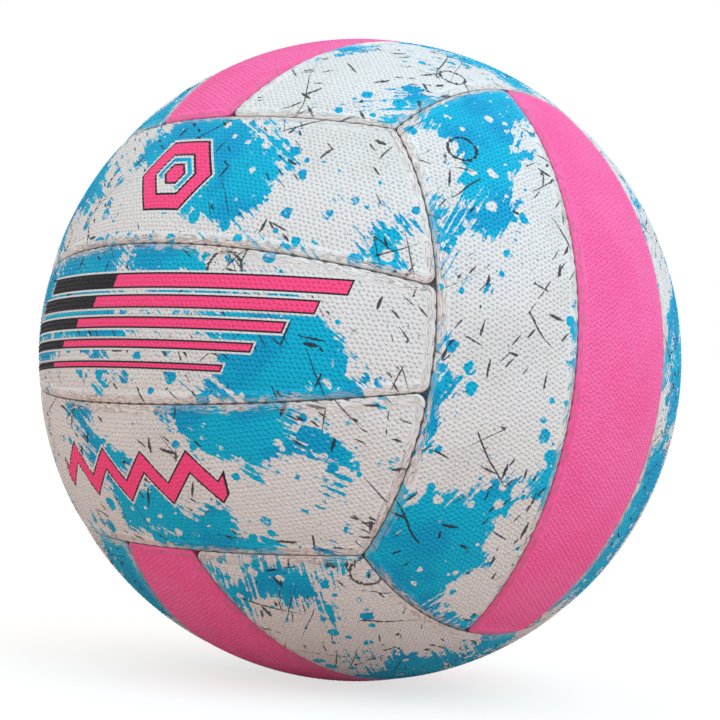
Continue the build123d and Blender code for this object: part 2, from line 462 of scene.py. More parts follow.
class Sheet:
    """A mesh that grows: points with what the finishes need of each, and triangles."""

    def __init__(self):
        self.columns = {key: [] for key in ("points", "edge", "flat", "pimple", "stitch")}
        self.triangles = []
        self.inner = []

    def add(self, points, edge, flat, pimple=0.0, stitch=0.0):
        """Adds points and gives their indices. A single number holds for all of them."""
        first = sum(map(len, self.columns["points"]))
        for key, value in zip(self.columns, (points, edge, flat, pimple, stitch)):
            self.columns[key].append(value if np.ndim(value) else np.full(len(points), value))
        return first + np.arange(len(points))

    def join(self, triangles, inner):
        """Adds triangles, and whether they look inwards."""
        self.triangles.append(triangles)
        self.inner.append(np.broadcast_to(inner, len(triangles)))

    def join_rings(self, rings, first_inner, step=1):
        """Joins rings, of which the pairs from one on look inwards. A step of -1 flips them."""
        rings = np.array(rings)
        inner = np.repeat(np.tile(np.arange(len(rings) - 1) >= first_inner, 2), rings.shape[1])
        self.join(ring_faces(rings)[:, ::step], inner)

    def filled(self, rings, inside):
        """Triangles that fill rings, the outline first, with more points inside."""
        flat = np.concatenate(self.columns["flat"])
        index = np.concatenate((*rings, inside))
        return index[fill([flat[ring] for ring in rings], flat[inside])]

    def arrays(self):
        """All of it, as a dictionary of arrays."""
        made = {key: np.concatenate(column) for key, column in self.columns.items()}
        return made | {"faces": np.concatenate(self.triangles), "inner": np.concatenate(self.inner)}


square = fill([np.array(((0, 0), (2, 0), (2, 2), (0, 2)))], np.array(((1, 1),)))
print("a square with a point inside is filled by", len(square), "triangles")

# %% [markdown]
# A layer is a cover or a lining, and its sizes are kept together. Stitches pull the
# edge back and the surface beside it down. The hole for the valve is one more profile,
# carried round a small circle.

# %% The turned-in edge and the valve's hole
stitch_dent = 0.34             # how far a stitch pulls the edge back
stitch_pull = 0.30             # how far it pulls the surface down beside the edge
stitch_reach = 1.5             # how far that pull carries over the surface
dent_grows = (0.05, 0.6)       # depths on the edge where a dent begins, and is whole
pull_fades = (1.0, 4.0)        # depths where the pull starts to fade, and is gone
edge_band = 2.9                # the width of the smooth band along a seam
valve_hole = 4.7
hole_points = 64
lip_share = 0.45               # the width of the hole's lip, as a share of the thickness
lip_bend = 0.3                 # where the lip's middle lies, as a share of its width


def crown_start(layer):
    """Where a layer's crown starts: inside its smooth band, or else inside its roll."""
    return layer.band or layer.roll


def add_edge(sheet, layer, sides, tilt):
    """Carries the turned-in edge round a strip's outline. Gives its first and last ring."""
    start, inward, place = strip_path(sides, layer)
    outer, inner = rolled_profile(layer)
    pull = stitch_strength(place) if layer.band else np.zeros(len(place))
    rings = []
    for (step, depth), length in zip(outer, profile_lengths(outer)):
        left = 1 - ramp(depth, *pull_fades)
        near = pull * math.exp(-step / stitch_reach)
        dent = pull * stitch_dent * ramp(depth, *dent_grows) * left
        sink = (stitch_pull * near + sagged(layer, layer.inset + step)) * left
        points = moved(start, inward, step + dent) * (layer.top - depth - sink)[:, None]
        unrolled = crown_start(layer) - length
        flat = on_chart(moved(start, inward, unrolled), tilt)
        rings.append(sheet.add(points, layer.inset + unrolled, flat, stitch=near))
    for (step, depth), length in zip(inner, profile_lengths(inner[::-1])[::-1]):
        points = moved(start, inward, step) * (layer.top - depth)
        unrolled = layer.roll - length
        flat = on_chart(moved(start, inward, unrolled), tilt)
        rings.append(sheet.add(points, layer.inset + unrolled, flat))
    sheet.join_rings(rings, len(outer) - 1)
    return rings[0], rings[-1]


def add_hole(sheet, layer, tilt):
    """Carries a rounded lip round the valve's hole. Gives its first and last ring."""
    angle = np.linspace(0, 2 * np.pi, hole_points, endpoint=False)
    rim = np.stack((np.cos(angle), np.sin(angle)), axis=-1)
    lip = lip_share * layer.thickness
    bend = lip_bend * lip
    profile = ((lip, 0), (bend, bend), (0, lip), (0, layer.thickness), (lip, layer.thickness))
    rings = []
    for out, depth in profile:
        points = on_ball(rim * (valve_hole + out), tilt) * (layer.top - depth)
        rings.append(sheet.add(points, layer.inset + edge_band, rim * (valve_hole + out - depth)))
    sheet.join_rings(rings, len(profile) - 2, -1)
    return rings[0], rings[-1]


print("the valve's hole is", 2 * valve_hole, "mm wide")

# %% A whole tray
seam_gap = 0.08                # between two strips
pimple_start = 2.8             # from the seam, where pimples begin to rise
pimple_full = 4.2              # from the seam, where they have their full height
valve_clearing = np.array((0.6, 2.2))   # the same round the valve's hole
crown_margin = 0.3             # between an edge's points and those of the crown
under_margin = 2.0             # the same on the underside


def strip_tray(layer, kind):
    """One strip as a closed sheet, along X and facing +Z, as a dictionary of arrays.

    points; faces; inner, which faces look inwards; edge, the distance from the seam;
    pimple, the height on a pimple from 0 to 1; stitch, how near a stitch is; flat, the
    place on the sheet.
    """
    sides, tilt = strip_sides(kind), strip_tilt(kind)
    sheet = Sheet()
    rings = [add_edge(sheet, layer, sides, tilt)]
    if kind == "valve":
        rings.append(add_hole(sheet, layer, tilt))
    top_rings, under_rings = zip(*rings)

    def clear(spots, reach, margin):
        """Which spots clear the rings by a margin, and their distances from the seam."""
        distance = edge_distance(on_ball(spots, tilt), sides, layer.inset + layer.corner)
        keep = distance > layer.inset + reach + margin
        if kind == "valve":
            lip = lip_share * layer.thickness
            keep &= np.linalg.norm(spots, axis=-1) > valve_hole + lip + margin
        return keep, distance[keep]

    spots, height = grid_spots, np.zeros(len(grid_spots))
    if layer.pimple:
        spots, height = lattice_spots, lattice_heights
    keep, distance = clear(spots, crown_start(layer), crown_margin)
    spots = spots[keep]
    rise = ramp(distance, pimple_start, pimple_full)
    height = height[keep] * rise
    if kind == "valve":
        height *= ramp(np.linalg.norm(spots, axis=-1), *(valve_hole + valve_clearing))
    depth = sagged(layer, distance) + layer.pimple * (rise - height)
    crown = sheet.add(on_ball(spots, tilt) * (layer.top - depth)[:, None], distance, spots, height)
    sheet.join(sheet.filled(top_rings, crown), False)

    keep, distance = clear(grid_spots, layer.roll, under_margin)
    spots = grid_spots[keep]
    under = sheet.add(on_ball(spots, tilt) * (layer.top - layer.thickness), distance, spots)
    sheet.join(sheet.filled(under_rings, under)[:, ::-1], True)
    return sheet.arrays()


def strip_trays(layer):
    """The three kinds of strip in one layer."""
    trays = {kind: strip_tray(layer, kind) for kind in ("middle", "outer", "valve")}
    for kind, tray in trays.items():
        print(f"{kind} tray: {len(tray['points'])} points, {len(tray['faces'])} triangles")
    return trays


COVER = SimpleNamespace(
    top=ball_radius,           # the radius of its outside, from the ball's centre
    thickness=1.0,
    inset=seam_gap / 2,        # from the seam to its flange
    roll=0.85,                 # the radius of its turned edge
    roll_points=7,
    corner=3.2,                # the radius of its corners, seen from outside
    path_step=0.7,             # between points of its outline
    band=edge_band,
    sag=0.42,                  # how far it sags at the seam
    pimple=0.30,               # the height of its pimples
)
covers = strip_trays(COVER)

# %% [markdown]
# ## Into Blender
# Each tray becomes one mesh, and every strip of that kind is a copy of it with its
# points turned into place. The mesh carries two flat maps. One is the print's, in
# millimetres on the sheet, moved on for each strip so that no two prints are the same.
# The other fills a square, with the inside squeezed into a band at its top, for baking.

# %% From arrays to meshes
inside_band = 0.9              # where the inside's part of the baking map starts
band_fill = 0.99               # how much of its height each part fills
map_margin = 0.004


def new_mesh(name, points, faces):
    """A smooth mesh from points in mm and triangles."""
    mesh = bpy.data.meshes.new(name)
    mesh.from_pydata((points * MM).tolist(), [], faces.tolist(), shade_flat=False)
    return mesh


def add_map(mesh, name, flat):
    """A flat map, with one place for each corner of each triangle."""
    layer = mesh.uv_layers.new(name=name)
    layer.data.foreach_set("uv", flat.astype(np.float32).ravel())


def tray_mesh(name, tray):
    """The master mesh of a tray, in place along X, with its attributes and maps."""
    mesh = new_mesh(name, tray["points"], tray["faces"])
    for key in ("edge", "pimple", "stitch"):
        values = mesh.attributes.new(key, "FLOAT", "POINT").data
        values.foreach_set("value", tray[key].astype(np.float32))
    flat = tray["flat"][tray["faces"].ravel()]
    low, high = tray["flat"].min(axis=0), tray["flat"].max(axis=0)
    square = (flat - low) / (high - low) * (1 - 2 * map_margin) + map_margin
    inner = np.repeat(tray["inner"], 3)
    square[:, 1] *= np.where(inner, 1 - inside_band, inside_band) * band_fill
    square[:, 1] += np.where(inner, inside_band, 0)
    add_map(mesh, "print", flat)
    add_map(mesh, "OFBake", square)
    return mesh


def turned_copy(name, master, tray, turn, shift):
    """A strip: a copy of its master mesh with points turned and its print moved on."""
    mesh = master.copy()
    mesh.name = name
    mesh.vertices.foreach_set("co", (tray["points"] @ turn.T * MM).astype(np.float32).ravel())
    flat = tray["flat"][tray["faces"].ravel()] + shift
    mesh.uv_layers["print"].data.foreach_set("uv", flat.astype(np.float32).ravel())
    mesh.update()
    return mesh


def add_piece(mesh, node):
    """A piece of the ball, in place, that stands for a node of the frame."""
    piece = bpy.data.objects.new(mesh.name, mesh)
    bpy.context.scene.collection.objects.link(piece)
    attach(piece, "root")
    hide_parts(node)
    return piece


def add_strips(layer_name, trays, shifts):
    """Every strip of one layer, as a dictionary of pieces by the strip's name."""
    masters = {kind: tray_mesh(f"{kind}_{layer_name}", tray) for kind, tray in trays.items()}
    pieces = {}
    for strip, kind, turn in strip_turns():
        node = f"{layer_name}_{strip}"
        mesh = turned_copy(node, masters[kind], trays[kind], turn, shifts[strip])
        pieces[strip] = add_piece(mesh, node)
    triangles = sum(len(piece.data.polygons) for piece in pieces.values())
    print(f"{layer_name}: {len(pieces)} pieces, {triangles} triangles")
    return pieces


# %% The panels
PINK_STRIPS = ("right_middle", "left_middle", "top_middle", "bottom_middle")
shift_step = np.array((331.0, 173.0))   # from strip to strip
panel_slots, print_shifts = {}, {}
for order, (strip, _, _) in enumerate(strip_turns()):
    panel_slots[strip] = "pink_rubber" if strip in PINK_STRIPS else "printed_rubber"
    print_shifts[strip] = shift_step * (order + 1)
panels = add_strips("panel", covers, print_shifts)

# %% [markdown]
# ## The linings
# Under each cover lies a woven lining, turned in with it. It is the same tray with
# thinner walls, set in by the cover's thickness, and without pimples.

# %% The linings
glue_line = 0.05               # between a cover and its lining
solid_inset = 0.15             # from the seam to the flange of a cover's solid
lining_step = COVER.thickness + glue_line
LINING = SimpleNamespace(
    top=ball_radius - lining_step,
    thickness=0.7,
    inset=solid_inset + lining_step,
    roll=1.95,
    roll_points=4,
    corner=2.95,
    path_step=1.6,
    band=0.0,
    sag=0.0,
    pimple=0.0,
)
lining_slots = dict.fromkeys(panels, "lining_cloth")
linings = add_strips("lining", strip_trays(LINING), dict.fromkeys(panels, (0, 0)))

# %% [markdown]
# ## The seam threads
# The strips are sewn edge to edge, and a thin thread lies in each crease. A thread is
# a tube along a circle on the ball. It sinks where a stitch goes in, so its radius from
# the ball's centre follows the same pitch as the dents in the covers' edges. It rests
# where it just clears both rolled edges.

# %% The seam threads
thread_radius = 0.14
thread_clearance = 0.03
thread_sink = 0.15             # where a stitch goes in
thread_step = 0.8              # between rings of its tube
thread_sides = 8
thread_end_gap = 1.2
thread_reach = COVER.roll + thread_radius + thread_clearance
thread_seat = COVER.roll - math.sqrt(thread_reach ** 2 - (COVER.roll + COVER.inset) ** 2)
thread_depth = thread_seat + COVER.sag   # of the thread's middle below the ball's surface


def thread_tube(pole, facing, polar, half_sweep):
    """A tube along the circle at a polar angle round a pole: points, triangles and a map.

    The circle is turned from facing by the sweep, at a radius that dips by the squared
    cosine at each stitch. Round each point of it stands a small circle, upright.
    """
    pole, facing = np.array(pole, float), np.array(facing, float)
    ring = ball_radius * math.sin(polar)
    reach = half_sweep - thread_end_gap / ring
    angle = np.linspace(-reach, reach, round(2 * reach * ring / thread_step))[:, None]
    outwards = facing * np.cos(angle) + np.cross(pole, facing) * np.sin(angle)
    direction = pole * math.cos(polar) + outwards * math.sin(polar)
    sideways = np.cross(unit(np.cross(pole, outwards)), direction)
    sink = thread_sink * np.cos(np.pi * angle * ring / stitch_pitch) ** 2
    middle = direction * (ball_radius - thread_depth - sink)
    spots = np.linspace(0, 2 * np.pi, thread_sides, endpoint=False)
    offsets = direction[:, None] * np.sin(spots)[:, None] + sideways[:, None] * np.cos(spots)[:, None]
    points = middle[:, None] + thread_radius * offsets
    rings = np.arange(len(angle) * thread_sides).reshape(-1, thread_sides)
    k = np.arange(1, thread_sides - 1)
    cap = np.stack((np.zeros_like(k), k, k + 1), axis=-1)
    faces = np.concatenate((ring_faces(rings), cap, cap[:, ::-1] + rings[-1, 0]))
    flat = np.stack(np.broadcast_arrays(angle * ring, spots / (2 * np.pi)), axis=-1)
    return points.reshape(-1, 3), faces, flat.reshape(-1, 2)


def group_threads():
    """The four threads of a group: its two inner seams, and its two long edges."""
    end_share = lean_up * seam_up
    reach = math.hypot(end_share, lean_back)
    seam_sweep = math.acos(math.cos(edge_polar) / reach) - math.atan2(lean_back, end_share)
    edge_sweep = math.asin(corner_share / math.sin(edge_polar))
    for side in (1, -1):
        pole, facing = (0, side * seam_up, -seam_low), (0, side * seam_low, seam_up)
        yield thread_tube(pole, facing, math.pi / 2, seam_sweep)
        pole, facing = (0, side * lean_up, -lean_back), (0, side * lean_back, lean_up)
        yield thread_tube(pole, facing, edge_polar, edge_sweep)


def joined(parts):
    """Several meshes as one: their points, their faces counted on, and their flat maps."""
    points, faces, flat = zip(*parts)
    firsts = np.cumsum((0, *map(len, points)))
    counted_on = [face + first for face, first in zip(faces, firsts)]
    return np.concatenate(points), np.concatenate(counted_on), np.concatenate(flat)


thread_points, thread_faces, thread_flat = joined(group_threads())
threads = []
for group, (run, face, _) in GROUPS.items():
    node = f"seam_thread_{group}"
    mesh = new_mesh(node, thread_points @ group_turn(run, face).T, thread_faces)
    add_map(mesh, "thread", thread_flat[thread_faces.ravel()])
    threads.append(add_piece(mesh, node))
print("threads:", len(threads), "with", len(thread_faces), "triangles each")

# %% [markdown]
# ## The bladder
# The bladder is a rubber bag that swells up under each strip. A grid of longitude and
# latitude about the valve's axis covers it, so the hole for the valve is the grid's
# first ring. Its radius grows with the distance from the nearest seam.

# %% The bladder
bladder_wall = 0.6
bladder_core = ball_radius - 6.6     # its radius under the seams
bladder_top = ball_radius - 1.85     # its radius under the strips
swell_start, swell_full = 2.2, 5.5   # from the seam, where it begins to swell, and is out
swell_corner = 4.15                  # the radius of its corners
bladder_columns, bladder_rows = 220, 150
pole_gap = 0.2                       # the far pole's cap, as a share of a row


def seam_distance(directions):
    """The distance from the nearest seam: the most that any strip holds a direction by."""
    return np.max([edge_distance(directions @ turn, strip_sides(kind), swell_corner)
                   for _, kind, turn in strip_turns()], axis=0)


def bladder_shell(wall):
    """One face of the bladder, from the valve's hole to the far pole, as rings of points."""
    nearest, farthest = math.asin(valve_hole / bladder_top), math.pi * (1 - pole_gap / bladder_rows)
    polar = np.linspace(nearest, farthest, bladder_rows)
    around = np.linspace(0, 2 * np.pi, bladder_columns, endpoint=False)
    polar, around = (grid.ravel() for grid in np.meshgrid(polar, around, indexing="ij"))
    ring = np.sin(polar)
    directions = np.stack((-np.cos(polar), ring * np.cos(around), -ring * np.sin(around)), axis=-1)
    swell = ramp(seam_distance(directions), swell_start, swell_full)
    return directions * (bladder_core + (bladder_top - bladder_core) * swell - wall)[:, None]


def bladder_mesh():
    """Both faces of the bladder, joined round the valve's hole and closed at the pole."""
    outside, inside = bladder_shell(0), bladder_shell(bladder_wall)
    size = len(outside)
    rings = np.arange(size).reshape(bladder_rows, bladder_columns)
    k = np.arange(1, bladder_columns - 1)
    cap = np.stack((np.zeros_like(k), k + 1, k), axis=-1) + rings[-1, 0]
    outer_faces = np.concatenate((ring_faces(rings), cap))[:, ::-1]
    hole = ring_faces(np.stack((rings[0], rings[0] + size)))
    faces = np.concatenate((outer_faces, outer_faces[:, ::-1] + size, hole))
    return new_mesh("bladder", np.concatenate((outside, inside)), faces)


bladder = add_piece(bladder_mesh(), "bladder")
print("bladder:", len(bladder.data.polygons), "triangles")

# %% [markdown]
# ## Writing shaders as sums
# A finish is a sum of masks, so it reads best as arithmetic. Field wraps a value in a
# shader, and its operators add Math nodes. Finish holds the nodes of one material, or of
# the sky, and has one method that adds any node: its type, its settings, its sockets.

# %% Fields
class Field:
    """A value that varies over a surface, with Python's operators for numbers."""

    def __init__(self, finish, socket):
        self.finish = finish
        self.socket = socket

    def math(self, operation, *others):
        """A Math node on this field and others."""
        values = dict(enumerate((self, *others)))
        return self.finish.node("ShaderNodeMath", {"operation": operation}, values)

    def __add__(self, other):
        return self.math("ADD", other)

    def __mul__(self, other):
        return self.math("MULTIPLY", other)

    def __sub__(self, other):
        return self.math("SUBTRACT", other)

    def __rsub__(self, other):
        return self.finish.node("ShaderNodeMath", {"operation": "SUBTRACT"}, {0: other, 1: self})

    def __truediv__(self, other):
        return self.math("DIVIDE", other)

    def __pow__(self, other):
        return self.math("POWER", other)

    def __abs__(self):
        return self.math("ABSOLUTE")

    __radd__ = __add__
    __rmul__ = __mul__

    def least(self, other):
        return self.math("MINIMUM", other)

    def most(self, other):
        return self.math("MAXIMUM", other)

    def ramp(self, low, high):
        """A smooth step from 0 at low to 1 at high, or falling where low is the larger."""
        return self.finish.node("ShaderNodeMapRange", {"interpolation_type": "SMOOTHSTEP"},
                                {"Value": self, "From Min": low, "From Max": high})

    def under(self, limit):
        """1 where the number is under a limit, else 0."""
        return (self - limit).ramp(0.0, -0.001)


# %% Finishes
class Finish:
    """The nodes of one material or of the sky, and the method that adds any node."""

    def __init__(self, owner, shader="Principled BSDF", **constants):
        owner.use_nodes = True
        self.owner = owner
        self.tree = owner.node_tree
        self.shader = self.tree.nodes[shader]
        for key, value in constants.items():
            self.shader.inputs[key.replace("_", " ")].default_value = value

    def node(self, kind, settings=None, sockets=None, output=0):
        """Adds a node and gives one of its outputs."""
        made = self.tree.nodes.new(kind)
        for key, value in (settings or {}).items():
            setattr(made, key, value)
        for key, value in (sockets or {}).items():
            if isinstance(value, Field):
                self.tree.links.new(value.socket, made.inputs[key])
            else:
                made.inputs[key].default_value = value
        return Field(self, made.outputs[output])

    def feed(self, **fields):
        """Links fields to the shader's sockets, such as Base_Color."""
        for key, field in fields.items():
            self.tree.links.new(field.socket, self.shader.inputs[key.replace("_", " ")])

    def mix(self, share, first, second):
        """A colour that goes from first to second as share goes from 0 to 1."""
        return self.node("ShaderNodeMix", {"data_type": "RGBA"}, {0: share, 6: first, 7: second}, 2)

    def dimmed(self, colour, share):
        """A colour times a number."""
        return self.node("ShaderNodeVectorMath", {"operation": "SCALE"}, {0: colour, "Scale": share})

    def noise(self, place, size, detail=2.0, roughness=0.5, dimensions="2D", output="Fac"):
        """Soft noise from 0 to 1 with features of about one size, in the place's own unit."""
        sockets = {"Vector": place, "Scale": 1 / size, "Detail": detail, "Roughness": roughness}
        return self.node("ShaderNodeTexNoise", {"noise_dimensions": dimensions}, sockets, output)

    def cells(self, place, spacing, output, randomness=1.0):
        """What a place has of its nearest random point: its Distance, Position or Color."""
        sockets = {"Vector": place, "Scale": 1 / spacing, "Randomness": randomness}
        return self.node("ShaderNodeTexVoronoi", {"voronoi_dimensions": "2D"}, sockets, output)

    def bump(self, height, distance):
        """A normal tilted by a height field whose unit is distance, in metres."""
        return self.node("ShaderNodeBump", {}, {"Height": height, "Distance": distance, "Strength": 1.0})

    def attribute(self, name):
        """A mesh attribute as a number."""
        return self.node("ShaderNodeAttribute", {"attribute_name": name}, output="Fac")

    def flat_map(self, name):
        """The place on one of the mesh's flat maps."""
        return self.node("ShaderNodeUVMap", {"uv_map": name})

    def shifted(self, place, offset):
        """A place moved by a vector, which may be a field."""
        return self.node("ShaderNodeVectorMath", {"operation": "ADD"}, {0: place, 1: offset})

    def bent(self, place, size, swing, detail=2.0, roughness=0.5):
        """A place pushed about by soft noise, by up to half the swing each way."""
        drift = self.noise(place, size, detail, roughness, output="Color")
        sockets = {0: drift, 1: (swing, swing, 0), 2: (-swing / 2, -swing / 2, 0)}
        drift = self.node("ShaderNodeVectorMath", {"operation": "MULTIPLY_ADD"}, sockets)
        return self.shifted(place, drift)

    def turned(self, place, angle, sizes):
        """A place turned by an angle in degrees, then measured in its own unit each way."""
        turn, scale = (0, 0, math.radians(angle)), (1 / sizes[0], 1 / sizes[1], 1)
        spun = self.node("ShaderNodeMapping", {}, {"Vector": place, "Rotation": turn})
        return self.node("ShaderNodeMapping", {}, {"Vector": spun, "Scale": scale})

    def parts(self, vector):
        """The x and y of a vector as two fields."""
        x = self.node("ShaderNodeSeparateXYZ", {}, {0: vector})
        return x, Field(self, x.socket.node.outputs[1])

    def seen(self):
        """1 where the camera looks, straight or by reflection or through glass, else 0."""
        rays = ("Is Camera Ray", "Is Glossy Ray", "Is Transmission Ray")
        return reduce(Field.most, (self.node("ShaderNodeLightPath", output=ray) for ray in rays))


def paint(red, green, blue):
    """A colour as it looks on a screen, 0 to 255, made linear for the shader.

    The screen's own curve: a short straight part, then a power of 2.4.
    """
    share = np.array((red, green, blue)) / 255
    linear = np.where(share <= 0.04045, share / 12.92, ((share + 0.055) / 1.055) ** 2.4)
    return (*linear.tolist(), 1.0)


print("middle grey in linear light:", round(paint(128, 128, 128)[0], 3))

# %% [markdown]
# ## The printed rubber
# White rubber is printed with brushed blue splashes, thrown drops and dark strokes. A
# picture could be painted, but a formula stays sharp at any distance. A splash is slow
# noise pushed over a threshold. Noise that is stretched along the brush is added before
# the threshold, so that only the splash's edges break up into bristle marks.

# %% Splashes and drops
WHITE, WARM_WHITE = paint(225, 236, 241), paint(218, 227, 230)
BLUE, DEEP_BLUE = paint(0, 188, 232), paint(0, 168, 222)
brush_angle = 32.0
splash_size, bristle_size = (64, 40), (26, 1.5)   # along the brush and across it
splash_level = 0.52            # above it the rubber is blue
splash_fade = 0.008
drop_spacing = 6.0
wet_edge = 0.08                # half the softness of a drop's or a ring's outline
level_fade = 0.02


def splash(finish, place):
    """How thick the blue print is, and a mask of it with a sharp ragged edge.

    Slow noise is pushed about by quicker noise. Bristle marks and grain are added, and
    the sum is cut at a threshold.
    """
    pushed = finish.bent(place, size=13.0, swing=18.0, detail=4.0, roughness=0.6)
    body = finish.noise(finish.turned(pushed, brush_angle, splash_size), 1.0)
    bristles = finish.noise(finish.turned(place, brush_angle, bristle_size), 1.0, 3.0, 0.65)
    grain = finish.noise(place, 2.6, 4.0, 0.7)
    level = body + 0.24 * (bristles - 0.5) + 0.12 * (grain - 0.5)
    return level, level.ramp(splash_level, splash_level + splash_fade)


def drops(finish, place, level, largest, low, high):
    """Round drops, one to a cell of random points, where the splash's level is in a range."""
    distance = finish.cells(place, drop_spacing, "Distance") * drop_spacing
    size, _ = finish.parts(finish.cells(place, drop_spacing, "Color"))
    rim = finish.noise(place, 1.6) - 0.5
    near = level.ramp(low - level_fade, low) * level.ramp(high, high - level_fade)
    return (distance + 1.3 * rim - largest * size ** 3).ramp(wet_edge, -wet_edge) * near


def blue_print(finish, place):
    """The mask of the blue print: splashes, drops thrown off them, and bare drops inside."""
    level, blue = splash(finish, place)
    blue = blue.most(drops(finish, place, level, largest=2.6, low=0.43, high=0.56))
    elsewhere = finish.shifted(place, (40, 17, 0))
    return blue * (1 - drops(finish, elsewhere, level, largest=2.0, low=0.55, high=0.66))


print("splashes are about", splash_size[0], "by", splash_size[1], "mm")

# %% [markdown]
# The dark marks are straight and lie at a few angles: thin broken scratches and short
# thick splinters. Each angle has long cells with a point in each. The mark runs through
# that point, along the cell, and tapers to both ends.

# %% Strokes and rings
STROKES = (                    # angle, length, lane, share of cells with one, thickness
    (58, 26, 8.0, 0.36, 0.55),
    (-38, 46, 15.0, 0.50, 0.7),
    (12, 9, 6.0, 0.17, 1.2),
    (-71, 8, 5.0, 0.16, 1.2),
    (40, 5, 4.0, 0.22, 0.9),
)
pen_edge = 0.06                # half the softness of a stroke's outline
ring_spacing, ring_radius, ring_width = 58.0, 8.0, 0.45
ring_share = 0.4               # of cells that have one
ring_scatter = 0.6


def strokes(finish, place, angle, length, lane, share, thickness):
    """Tapered marks at one angle, each on the lane of a cell's point, for a share of cells.

    A mark's half width falls with the square of the place along it, and is roughened.
    """
    turned = finish.turned(place, angle, (length, lane))
    point = finish.cells(turned, 1.0, "Position")
    chance, weight = finish.parts(finish.cells(turned, 1.0, "Color"))
    offset = finish.node("ShaderNodeVectorMath", {"operation": "SUBTRACT"}, {0: turned, 1: point})
    along, across = finish.parts(offset)
    shortening, half_width = 1.7 + 1.6 * weight, 0.15 + 0.35 * weight
    taper = 1 - (along * shortening) ** 2
    ragged = 0.5 * (finish.noise(place, 1.1, 2.0, 0.7) - 0.44)
    mark = (abs(across * lane) - thickness * (half_width * taper + ragged)).ramp(pen_edge, -pen_edge)
    return mark * taper.ramp(0.0, 0.1) * chance.under(share)


def rough_rings(finish, place):
    """Rough rings, one in some of the cells of random points."""
    distance = finish.cells(place, ring_spacing, "Distance", ring_scatter) * ring_spacing
    chance, weight = finish.parts(finish.cells(place, ring_spacing, "Color", ring_scatter))
    rough = finish.noise(place, 1.5, 3.0, 0.7) - 0.5
    band = abs(distance - ring_radius * (0.5 + 0.5 * weight)) + 2.2 * rough
    return (band - ring_width).ramp(wet_edge, -wet_edge) * chance.under(ring_share)


def dark_print(finish, place):
    """The mask of the dark print: strokes in busy patches, specks in others, and rings."""
    lean = finish.bent(place, size=40.0, swing=9.0)
    busy = finish.noise(place, 30.0, 3.0, 0.6).ramp(0.46, 0.48)
    marks = reduce(Field.most, (strokes(finish, lean, *kind) for kind in STROKES)) * busy
    specks = finish.noise(place, 1.3, 3.0, 0.7).ramp(0.70, 0.715)
    specks = specks * finish.noise(place, 18.0).ramp(0.48, 0.55)
    return marks.most(specks).most(rough_rings(finish, place))


print("kinds of strokes:", len(STROKES))

# %% [markdown]
# Near the seams the print is rubbed thin and the rubber wrinkles along the turned edge,
# and shade is painted into the crease and the stitch holes. All three follow the distance
# from the seam, which each point of a cover carries.

# %% Worn edges and the rubber's surface
# the second colour is the dark of the cracks, and the shade painted into the creases
CREAM, DARK_CRACK_AND_CREASE_SHADE = paint(224, 220, 218), paint(66, 56, 56)
rubber_gloss = 0.14
wrinkles_across, wrinkles_along = 1.3, 0.26   # how many to a millimetre each way
# painted shade: darker between the pimples and on the smooth band by the seams
between_shade = 0.26           # how much darker the rubber is between its pimples
pimple_relief = 0.55           # the height of the bump that adds to a pimple's slope
wrinkle_relief, tooth_relief, crack_relief = 0.45, 0.03, 0.12
# painted shade: how much darker the crease and the stitch holes are painted
crease_painted_shade, hole_painted_shade = 0.4, 0.85   # how dark the creases and stitch holes are


